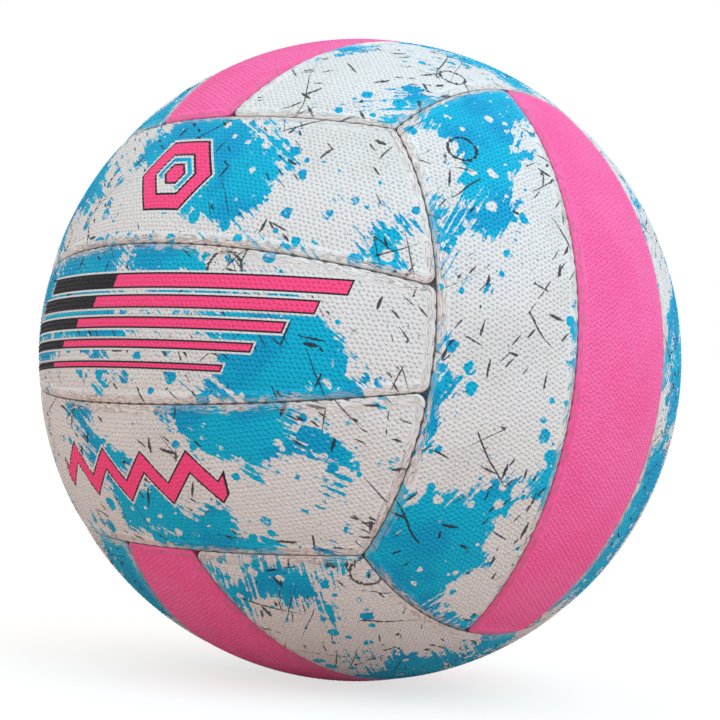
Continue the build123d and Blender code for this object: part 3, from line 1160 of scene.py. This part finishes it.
class Rubber(Finish):
    """A cover's rubber, with what each point of a cover carries."""

    def __init__(self, name):
        super().__init__(bpy.data.materials.new(name), Specular_IOR_Level=rubber_gloss)
        self.place = self.flat_map("print")
        self.edge, self.pimple, self.stitch = map(self.attribute, ("edge", "pimple", "stitch"))
        x, y = self.parts(self.place)
        self.along_seam = self.node("ShaderNodeCombineXYZ", {}, {
            "X": self.edge * wrinkles_across, "Y": x * wrinkles_along, "Z": y * wrinkles_along})

    def drawn_out(self, offset, size, detail, roughness):
        """Noise that is drawn out along the seam, whichever way the seam runs."""
        return self.noise(self.shifted(self.along_seam, offset), size, detail, roughness, "3D")

    def cracks(self):
        """Fine cracks along the turned edge: where drawn-out noise crosses its middle."""
        near = self.edge.ramp(3.6, 2.2) * self.edge.ramp(0.2, 0.7)
        return abs(self.drawn_out((0, 0, 0), 1.0, 3.0, 0.55) - 0.5).ramp(0.035, 0.005) * near

    def rubbed(self, colour):
        """A printed colour rubbed off in flakes along the seams, with fine dark cracks."""
        flakes = self.drawn_out((7, 3, 5), 1.0, 4.0, 0.65)
        stretch = self.noise(self.place, 34.0).ramp(0.40, 0.60)
        bare = (flakes + 0.16 * self.edge.ramp(3.0, 0.8)).ramp(0.56, 0.63) * self.edge.ramp(3.6, 2.4)
        colour = self.mix(bare * (0.25 + 0.55 * stretch), colour, CREAM)
        return self.mix(self.cracks() * (0.15 + 0.4 * stretch), colour, DARK_CRACK_AND_CREASE_SHADE)

    def creased(self, colour, shade_colour):
        """A colour with painted shade in the creases and stitch holes, and between pimples."""
        hole = self.stitch.ramp(0.45, 0.8) * self.edge.ramp(0.5, 0.0)
        # painted shade in the crease and in the stitch holes
        painted_shade = (self.edge.ramp(0.0, -0.5) * crease_painted_shade).most(hole * hole_painted_shade)
        # painted shade between the pimples, and on the smooth band by the seams
        between = 1 - self.pimple - 0.25 * self.edge.ramp(4.2, 2.8)
        return self.dimmed(self.mix(painted_shade, colour, shade_colour), 1 - between_shade * between)

    def dress(self, colour):
        """Gives the rubber its colour, its gloss and its fine relief.

        The relief is pimples, wrinkles along the edges, cracks, and a fine tooth.
        """
        wrinkles = self.drawn_out((2, 9, 4), 0.7, 3.0, 0.6) * self.edge.ramp(4.0, 2.4)
        tooth = self.noise(self.place, 0.35, 2.0, 0.6)
        height = self.pimple * pimple_relief + wrinkles * wrinkle_relief + tooth * tooth_relief
        height = height - self.cracks() * crack_relief
        sheen = 0.1 * (self.noise(self.place, 14.0, 3.0) - 0.5)
        dull = 0.5 + 0.12 * (1 - self.pimple) - 0.06 * self.edge.ramp(3.5, 1.5) + sheen
        self.feed(Base_Color=colour, Roughness=dull, Normal=self.bump(height, MM))


print("bump on a pimple:", pimple_relief, "mm")

# %% [markdown]
# The front strips also carry bold shapes: a hexagon, stripes and a zigzag. Each is kept
# as the distance to its outline: under zero inside it, then a dark band, then a halo.

# %% Shapes for the front strips
CHARCOAL, PRINT_PINK = paint(44, 46, 54), paint(255, 84, 148)
far_outside = 100.0


def hexagons(finish, place):
    """The distance outside a six-sided ring and the hexagon inside it, and their fill.

    The greatest of the distances along three axes has hexagons as its level lines.
    """
    radius, thickness = 10.0, 4.6
    x, y = finish.parts(place)
    level = abs(y).most(abs(x) * math.sin(math.pi / 3) + abs(y) * math.cos(math.pi / 3))
    ring = abs(level - radius) - thickness / 2
    inside = radius - 1.5 * thickness   # a gap as wide as the ring lies round it
    return ring.least(level - inside), PRINT_PINK


def stripes(finish, place):
    """The distance outside level stripes with slanted ends, and their fill, dark at one end.

    The remainder of the height by the period is the distance across a stripe. Each
    stripe is thicker than the one below it, and starts further along.
    """
    count, period, thinnest, thicker = 5, 6.4, 1.2, 0.65
    half_length, stagger, slant, dark_end, blend = 62.0, 7.0, 0.35, -18.0, 0.1
    x, y = finish.parts(place)
    lane = y / period + count / 2
    order = lane.math("FLOOR")
    across = abs(lane - order - 0.5) * period - (thinnest + thicker * order) / 2
    leaning = x - slant * y - (order - (count - 1) / 2) * stagger
    past_the_last = (abs(y) - count * period / 2) * far_outside
    fill = finish.mix(leaning.ramp(dark_end - blend, dark_end + blend), CHARCOAL, PRINT_PINK)
    return across.most(past_the_last).most(abs(leaning) - half_length), fill


def zigzag(finish, place):
    """The distance outside a zigzag line along the strip, and its fill."""
    period, swing, thickness, half_length = 18.0, 5.0, 6.0, 38.0
    x, y = finish.parts(place)
    wave = abs((x / period).math("FRACT") - 0.5) * (4 * swing) - swing
    return (abs(y - wave) - thickness / 2).most(abs(x) - half_length), PRINT_PINK


FRONT_SHAPES = {               # the shape, its middle on the strip, its dark line and halo
    "front_upper": (hexagons, (8, 0), 0.8, 0.8),
    "front_middle": (stripes, (-4, 0), 0.6, 0.6),
    "front_lower": (zigzag, (2, -1), 0.9, 1.0),
}


def with_shape(finish, strip, colour, dark):
    """Lays a strip's shape over its print: a pale halo, a dark line, and the fill."""
    shape, middle, line, halo = FRONT_SHAPES[strip]
    offset = -(print_shifts[strip] + middle)
    distance, fill = shape(finish, finish.shifted(finish.place, (*offset.tolist(), 0)))
    for width, layer in ((line + halo, WHITE), (line, CHARCOAL)):
        colour = finish.mix(distance.ramp(width, width - 2 * pen_edge), colour, layer)
    colour = finish.mix(distance.ramp(pen_edge, -pen_edge), colour, fill)
    return colour, dark * distance.ramp(line + halo - 2 * pen_edge, line + halo)


print("strips with a shape:", ", ".join(FRONT_SHAPES))

# %% The printed rubber
charcoal_strength = 0.92


def printed_rubber(name, strip=None):
    """White rubber with its print, and a front strip's shape where it has one."""
    finish = Rubber(name)
    place = finish.place
    white = finish.mix(finish.noise(place, 30.0, 4.0, 0.6).ramp(0.42, 0.75), WHITE, WARM_WHITE)
    ink = finish.mix(finish.noise(place, 20.0).ramp(0.4, 0.62), BLUE, DEEP_BLUE)
    colour, dark = finish.mix(blue_print(finish, place), white, ink), dark_print(finish, place)
    if strip:
        colour, dark = with_shape(finish, strip, colour, dark)
    colour = finish.rubbed(finish.mix(dark * charcoal_strength, colour, CHARCOAL))
    finish.dress(finish.creased(colour, DARK_CRACK_AND_CREASE_SHADE))
    return finish.owner


plain_print = printed_rubber("printed_rubber")
for strip, piece in panels.items():
    if strip in FRONT_SHAPES:
        piece.data.materials.append(printed_rubber(f"printed_rubber_{strip}", strip))
    elif strip not in PINK_STRIPS:
        piece.data.materials.append(plain_print)
print("printed strips:", len(panels) - len(PINK_STRIPS))

# %% [markdown]
# ## The pink rubber
# The middle strips of four groups are dyed pink all through and carry no print. Their
# colour still drifts a little, and a highlight is painted paler on the tops of the
# pimples. Beside the seams it is dulled, in dashes between the stitches.

# %% The pink rubber
PINK, DEEP_PINK = paint(251, 112, 184), paint(251, 100, 174)
# the paler pink is a highlight painted on the pimples' tops
PINK_TOP_HIGHLIGHT, DUSTY_PINK = paint(252, 156, 208), paint(206, 128, 150)
# the shade painted into the pink strips' creases and stitch holes
PINK_CREASE_SHADE = paint(168, 62, 100)
# painted highlight: how much paler the pimples' tops are painted
pimple_top_highlight, dash_strength = 0.35, 0.95


def pink_rubber():
    """Pink rubber, a little deeper in clouds, with painted shade and highlights on its pimples."""
    finish = Rubber("pink_rubber")
    place, edge = finish.place, finish.edge
    colour = finish.mix(finish.noise(place, 26.0, 4.0, 0.6).ramp(0.35, 0.7), PINK, DEEP_PINK)
    # painted highlight on the pimples' tops
    colour = finish.mix(finish.pimple * pimple_top_highlight, colour, PINK_TOP_HIGHLIGHT)
    dash = finish.stitch.ramp(0.30, 0.06) * (edge + finish.noise(place, 1.2) - 0.5).ramp(2.4, 1.9)
    patch = finish.noise(place, 3.0, 3.0, 0.6).ramp(0.40, 0.58)
    colour = finish.mix(dash * edge.ramp(0.8, 1.4) * patch * dash_strength, colour, DUSTY_PINK)
    finish.dress(finish.creased(colour, PINK_CREASE_SHADE))
    return finish.owner


pink = pink_rubber()
for strip in PINK_STRIPS:
    panels[strip].data.materials.append(pink)
print("pink strips:", len(PINK_STRIPS))

# %% [markdown]
# ## Inside finishes
# The lining is a plain weave, the thread is waxed, twisted and painted dark, partly to
# stand for the shade in the crease, the bladder is dull black rubber with a bloom, and
# the valve is soft grey rubber. The valve's two pieces are plain turned shapes, so their
# solids are shown as they are.

# %% Lining, thread, bladder and valve
COTTON, PALE_COTTON = paint(196, 184, 160), paint(228, 220, 202)
# the thread's darker colour is partly a painted shade of the crease
DARK_WAX_AND_SHADE, PALE_WAX = paint(70, 62, 60), paint(126, 116, 112)
BLACK, BLOOM = paint(28, 28, 30), paint(54, 52, 52)
GREY, PALE_GREY = paint(40, 40, 44), paint(70, 70, 74)
cloth_gloss, wax_gloss, moulded_gloss = 0.2, 0.4, 0.4
weave_pitch, weave_relief = 0.9, 0.15
ply_pitch, ply_relief = 0.9, 0.08
bloom_size, bladder_grain, valve_grain = 0.012, 0.0006, 0.0004   # in metres
speck_relief = 0.05


def wave(field):
    """A sine that makes one turn as a field goes up by one."""
    return (field * (2 * math.pi)).math("SINE")


def lining_cloth():
    """Cream cotton in a plain weave: two waves across each other, over and under."""
    finish = Finish(bpy.data.materials.new("lining_cloth"), Specular_IOR_Level=cloth_gloss)
    place = finish.flat_map("print")
    x, y = finish.parts(place)
    weave = wave(x / weave_pitch) * wave(y / weave_pitch) * 0.5 + 0.5
    slubs = finish.noise(finish.turned(place, 0, (8.0, 0.8)), 1.0)
    share = weave * 0.5 + slubs * 0.4
    finish.feed(Base_Color=finish.mix(share, COTTON, PALE_COTTON),
                Roughness=0.8 + 0.1 * slubs, Normal=finish.bump(weave, weave_relief * MM))
    return finish.owner


def waxed_thread():
    """Dark waxed thread, its dark partly painted crease shade: plies wave slantwise along and round the
    tube.
    """
    finish = Finish(bpy.data.materials.new("waxed_thread"), Specular_IOR_Level=wax_gloss)
    along, around = finish.parts(finish.flat_map("thread"))
    plies = wave(along / ply_pitch + around * 2) * 0.5 + 0.5
    finish.feed(Base_Color=finish.mix(plies, DARK_WAX_AND_SHADE, PALE_WAX),
                Roughness=0.45 + 0.2 * plies, Normal=finish.bump(plies, ply_relief * MM))
    return finish.owner


def dull_rubber(name, dark, pale, grain):
    """Plain moulded rubber with a dusty bloom."""
    finish = Finish(bpy.data.materials.new(name), Specular_IOR_Level=moulded_gloss)
    place = finish.node("ShaderNodeTexCoord", output="Object")
    bloom = finish.noise(place, bloom_size, 4.0, 0.6, "3D")
    speck = finish.noise(place, grain, 2.0, 0.6, "3D")
    finish.feed(Base_Color=finish.mix(bloom.ramp(0.35, 0.7), dark, pale),
                Roughness=0.5 + 0.25 * bloom, Normal=finish.bump(speck, speck_relief * MM))
    return finish.owner


cloth, twine = lining_cloth(), waxed_thread()
for piece in linings.values():
    piece.data.materials.append(cloth)
for piece in threads:
    piece.data.materials.append(twine)
bladder.data.materials.append(dull_rubber("bladder_rubber", BLACK, BLOOM, bladder_grain))
valve_rubber = dull_rubber("valve_rubber", GREY, PALE_GREY, valve_grain)
for node in ("valve_body", "valve_plug"):
    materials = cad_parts[node].data.materials
    materials.clear()
    materials.append(valve_rubber)
print("inside finishes done")

# %% [markdown]
# ## Floor and light
# The ball stands on a plain white floor. The floor glows white to the camera over part
# of its brightness, so it stays white and still shows the ball's soft shadow, and it
# fades to plain white away from the ball. A large soft lamp and a pale sky light it.

# %% The floor
PLAIN_WHITE = (1.0, 1.0, 1.0, 1.0)
floor_half = 6.0               # in metres, as are the two distances below
shadow_near, shadow_far = 0.10, 0.4      # where the shadow starts to fade, and is gone
shadow_share = 0.32
floor_bounce = (0.68, 0.45, 0.37, 1.0)   # what it sends back to the ball
floor_seen = (0.88, 0.98, 0.98, 1.0)     # what the camera sees


def floor_finish():
    """White to the camera by a glow, which leaves a share of the ball's shadow."""
    finish = Finish(bpy.data.materials.new("floor"), Roughness=0.9, Specular_IOR_Level=0.1)
    x, y = finish.parts(finish.node("ShaderNodeTexCoord", output="Object"))
    away = ((x * x + y * y) ** 0.5).ramp(shadow_near, shadow_far)
    seen = finish.seen()
    finish.feed(Base_Color=finish.mix(seen, floor_bounce, floor_seen))
    glow = finish.node("ShaderNodeEmission", {}, {"Color": PLAIN_WHITE, "Strength": 1.0})
    share = seen * ((1 - shadow_share) + shadow_share * away)
    matt = Field(finish, finish.shader.outputs[0])
    shown = finish.node("ShaderNodeMixShader", {}, {0: share, 1: matt, 2: glow})
    finish.tree.links.new(shown.socket, finish.tree.nodes["Material Output"].inputs["Surface"])
    return finish.owner


def add_floor():
    """A square floor under the ball."""
    mesh = bpy.data.meshes.new("floor")
    ends = ((-1, -1), (1, -1), (1, 1), (-1, 1))
    corners = [(x * floor_half, y * floor_half, cad_low.z) for x, y in ends]
    mesh.from_pydata(corners, [], [(0, 1, 2, 3)])
    mesh.materials.append(floor_finish())
    floor = bpy.data.objects.new("floor", mesh)
    bpy.context.scene.collection.objects.link(floor)


add_floor()
print("floor at", round(cad_low.z, 4), "m")

# %% The lights
lamp_spot = np.array((1.08, -0.20, 0.92))   # in metres
lamp_size, lamp_power, lamp_colour = 1.2, 11.0, (0.50, 0.83, 1.0)
sky_strength, sky_colour = 1.3, np.array((1.0, 0.91, 0.86))


def add_lamp():
    """A soft square lamp that faces the ball's centre."""
    data = bpy.data.lights.new("key", "AREA")
    data.size = lamp_size
    data.energy = lamp_power
    data.color = lamp_colour
    back = unit(lamp_spot)
    add_aimed("key", data, unit(np.cross((0, 0, 1), back)), back, np.linalg.norm(lamp_spot))


def add_sky():
    """An even sky: white to the camera, and a soft light to everything else."""
    sky = Finish(bpy.data.worlds.new("sky"), "Background")
    light = (*(sky_strength * sky_colour).tolist(), 1.0)
    sky.feed(Color=sky.mix(sky.seen(), light, PLAIN_WHITE))
    bpy.context.scene.world = sky.owner


add_lamp()
add_sky()
bpy.context.scene.view_settings.view_transform = "Standard"
